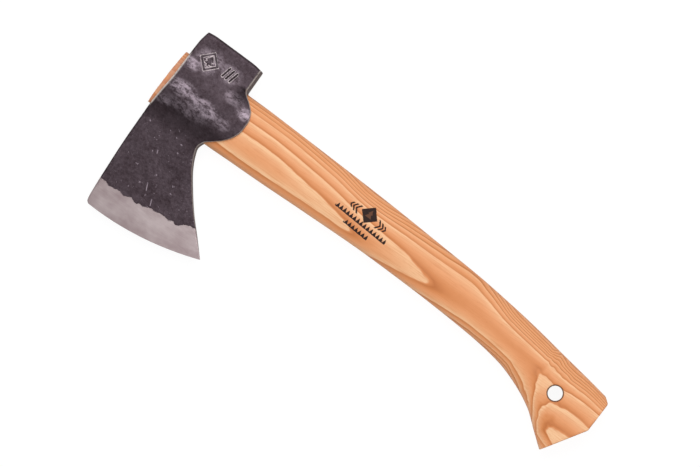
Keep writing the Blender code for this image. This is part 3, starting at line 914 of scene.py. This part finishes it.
def scale_colour_and_throat_shade(g, place, y, fine):
    """Mottled forge scale, with painted shade that darkens the throat between the eye and the blade."""
    mottle = g.noise(place, 0.10, 5.0, 0.6)
    colour = g.ramp(g.add(g.scaled(mottle, 0.4), g.scaled(fine, 0.6)),
                    ((0.37, SCALE_DARK), (0.66, SCALE_LIGHT)), smooth=False)
    # painted shade: the throat's slope turns away from the key light, so the scale there is darkened towards
    # black
    throat = g.math("MULTIPLY", g.smooth(y, -8.0, 3.0), g.smooth(y, 14.0, 8.0))
    return g.blend(g.scaled(throat, 0.5), colour, mix_colour(SCALE_DARK, (0, 0, 0), 0.35))


def scuffed_and_highlit(g, place, fine, speckle, colour):
    """Worn patches on the cheek, painted highlight as well along the ridge, and specks and scratches on the
    blade.
    """
    x, y, _ = g.split(place)
    smear = g.noise(g.stretched(place, (0.13, 0.32, 0.2)), 1.0, 4.0, 0.6, 0.6)
    patch_breakup = g.add(g.scaled(smear, 0.55), g.scaled(fine, 0.3), g.scaled(speckle, 0.15))
    # painted highlight as well as wear: the patches along the ridge stand in for the lamps' sheen where the
    # cheek turns down to the blade
    rubbed_and_highlit = g.math("MULTIPLY", patches(g, x, y), g.smooth(patch_breakup, 0.40, 0.62))
    colour = g.blend(rubbed_and_highlit, colour, SCUFF_AND_HIGHLIGHT)
    specks = g.smooth(g.noise(place, 0.42, 2.0, 0.6), 0.66, 0.74)
    specks = union(g, [specks, *(scratch(g, x, y, start, end) for start, end in SCRATCHES)])
    return g.blend(g.scaled(g.math("MULTIPLY", specks, g.smooth(y, 4.0, -6.0)), 0.6), colour, SCUFF_AND_HIGHLIGHT)


def stamp_colour(g, x, stamp, fine, colour):
    """Rubbed lips and dark bottoms of the stamped marks; the lozenge is fainter than the strokes."""
    lip = g.math("MULTIPLY", g.smooth(stamp, 0.02, 0.15), g.smooth(stamp, 0.7, 0.3))
    rubbed_lip = g.math("MULTIPLY", lip, g.smooth(fine, 0.3, 0.5))
    colour = g.blend(rubbed_lip, colour, mix_colour(SCUFF_AND_HIGHLIGHT, BARE_STEEL_AND_HIGHLIGHT, 0.4))
    sunk = g.math("MULTIPLY", g.smooth(stamp, 0.45, 0.8), g.scaled(g.smooth(x, 24.0, 28.0), 0.35, 0.5))
    return g.blend(sunk, colour, STAMP_DARK)


def steel_material():
    g = Graph("forged_steel")
    place = g.design_place()
    x, y, _ = g.split(place)
    ground, stamp, gap, wear_and_highlight = (g.node("ShaderNodeAttribute", attribute_name=name).outputs["Fac"]
                                for name in (*HEAD_TRAITS, "rim_wear_and_highlight"))
    fine = g.noise(place, 0.55, 5.0, 0.7)
    speckle = g.noise(place, 1.3, 3.0, 0.6)
    colour = scale_colour_and_throat_shade(g, place, y, fine)
    colour = scuffed_and_highlit(g, place, fine, speckle, colour)
    colour = stamp_colour(g, x, stamp, fine, colour)
    # painted highlight as well as wear: the rims are painted bright steel, and less metallic below, so they
    # show bright whatever the lamps reach
    colour = g.blend(g.math("MULTIPLY", wear_and_highlight, g.smooth(fine, 0.25, 0.5)), colour, BARE_STEEL_AND_HIGHLIGHT)
    ragged = g.add(ground, g.scaled(fine, 0.12, -0.06), g.scaled(speckle, 0.06, -0.03))
    bevel = g.smooth(ragged, -0.012, 0.02)
    colour = g.blend(bevel, colour, ground_colour(g, place, gap))
    g.feed(g.shader.inputs["Base Color"], colour)
    g.feed(g.shader.inputs["Metallic"], g.scaled(wear_and_highlight, -0.5, 0.8))
    g.feed(g.shader.inputs["Specular Tint"], (*GRAZING_TINT, 1.0))
    g.feed(g.shader.inputs["Roughness"], g.add(g.scaled(bevel, -0.06, 0.5), g.scaled(fine, 0.2, -0.1)))
    pits = g.math("MULTIPLY", g.add(fine, g.scaled(speckle, 0.5)), g.scaled(bevel, -0.9, 1.0))
    g.bump(pits, 0.16)
    return g.material


def ground_colour(g, place, gap):
    """The ground bevel: cloudy, with fine strokes along the edge and a honed band next to it."""
    strokes = g.noise(g.stretched(place, (0.12, 2.2, 1.0)), 1.0, 3.0, 0.6)
    clouds = g.noise(g.stretched(place, (0.07, 0.11, 0.1)), 1.0, 3.0, 0.55)
    tone = g.add(g.scaled(strokes, 0.25), g.scaled(clouds, 0.75))
    dull, bright = mix_colour(GROUND_STEEL, SCALE_LIGHT, 0.22), mix_colour(GROUND_STEEL, (1, 1, 1), 0.16)
    colour = g.ramp(tone, ((0.34, dull), (0.66, bright)), smooth=False)
    honed = g.smooth(g.add(gap, g.scaled(clouds, 1.6, -0.8)), 3.9, 3.0)
    return g.blend(g.scaled(honed, 0.25), colour, mix_colour(GROUND_STEEL, SCALE_LIGHT, 0.3))


# ---------------------------------------------------------------- clip and wedge
CLIP_DARK, CLIP_LIGHT = (0.30, 0.28, 0.27), (0.52, 0.50, 0.49)


def clip_material():
    g = Graph("clip_steel")
    place = g.design_place()
    marks = g.noise(place, 1.4, 4.0, 0.6)
    g.feed(g.shader.inputs["Base Color"], g.ramp(marks, ((0.3, CLIP_DARK), (0.7, CLIP_LIGHT))))
    g.feed(g.shader.inputs["Metallic"], 1.0)
    g.feed(g.shader.inputs["Roughness"], g.scaled(marks, 0.3, 0.25))
    g.bump(marks, 0.05)
    return g.material


def wedge_material():
    g = Graph("wedge_wood")
    place = g.design_place()
    streaks = g.noise(g.stretched(place, (0.12, 0.5, 1.6)), 1.0, 4.0, 0.6)
    pores = g.noise(place, 2.2, 2.0, 0.5)
    colour = g.ramp(streaks, ((0.3, END_WOOD), (0.7, mix_colour(END_WOOD, PALE_WOOD, 0.4))))
    colour = g.blend(g.smooth(pores, 0.6, 0.75), colour, BURNT_AND_SHADE_BROWN)
    g.feed(g.shader.inputs["Base Color"], colour)
    g.feed(g.shader.inputs["Roughness"], 0.62)
    g.bump(pores, 0.08)
    return g.material


# ---------------------------------------------------------------- stage, light, camera
FLOOR_GREY, FLOOR_GLOW, WORLD_GLOW = 0.1, 0.93, 0.28


def make_stage():
    """A floor that is white mostly by its own light, so that it doesn't light up the object's sides."""
    bpy.ops.mesh.primitive_plane_add(size=12, location=(0, 0, 0))
    floor = bpy.context.object
    floor.name = "floor"
    g = Graph("floor_white")
    g.feed(g.shader.inputs["Base Color"], (FLOOR_GREY, FLOOR_GREY, FLOOR_GREY, 1))
    g.feed(g.shader.inputs["Roughness"], 0.9)
    g.feed(g.shader.inputs["Specular IOR Level"], 0.0)
    g.feed(g.shader.inputs["Emission Color"], (1, 1, 1, 1))
    g.feed(g.shader.inputs["Emission Strength"], FLOOR_GLOW)
    floor.data.materials.append(g.material)
    world = bpy.data.worlds.new("studio")
    bpy.context.scene.world = world
    world.use_nodes = True
    world.node_tree.nodes["Background"].inputs["Color"].default_value = (1, 1, 1, 1)
    world.node_tree.nodes["Background"].inputs["Strength"].default_value = WORLD_GLOW


def area_light(name, place, aim, size, watts):
    data = bpy.data.lights.new(name, "AREA")
    data.shape = "RECTANGLE"
    data.size, data.size_y = size
    data.energy = watts
    light = bpy.data.objects.new(name, data)
    light.location = place
    light.rotation_euler = (Vector(aim) - Vector(place)).to_track_quat("-Z", "Y").to_euler()
    bpy.context.scene.collection.objects.link(light)


def make_lights():
    """Two broad lamps high above: a key over the poll's side and a weaker fill over the knob's."""
    area_light("key", (-0.25, 0.65, 1.5), (0, 0, 0), (1.2, 1.2), 17.5)
    area_light("fill", (0.5, -0.5, 1.6), (0, 0, 0), (1.4, 1.4), 7.7)


def make_camera():
    data = bpy.data.cameras.new("camera")
    data.sensor_width = SENSOR_MM
    camera = bpy.data.objects.new("camera", data)
    bpy.context.scene.collection.objects.link(camera)
    bpy.context.scene.camera = camera
    eye, target = to_row(CAMERA_PLACE), to_row(CAMERA_TARGET)
    forward = (target - eye).normalized()
    up = Vector((-math.sin(CAMERA_ROLL), math.cos(CAMERA_ROLL), 0))
    right = forward.cross(up).normalized()
    up = right.cross(forward)
    camera.matrix_world = Matrix.Translation(eye) @ Matrix((right, up, -forward)).transposed().to_4x4()
    data.lens = SENSOR_MM * (target - eye).length / (FRAME_WIDTH_MM * MM)
    data.clip_end = 20
    scene = bpy.context.scene
    scene.view_settings.view_transform = "Standard"
    scene.view_settings.look = "None"


def finish_piece(piece, material, node):
    piece.data.materials.clear()
    piece.data.materials.append(material)
    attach(piece, "root")
    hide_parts(node)


make_stage()
make_lights()
make_camera()
finish_piece(make_head(), steel_material(), "axe_head")
finish_piece(make_handle(), wood_material(), "handle")
finish_piece(make_wedge(), wedge_material(), "wooden_wedge")
finish_piece(make_clip(), clip_material(), "steel_clip")
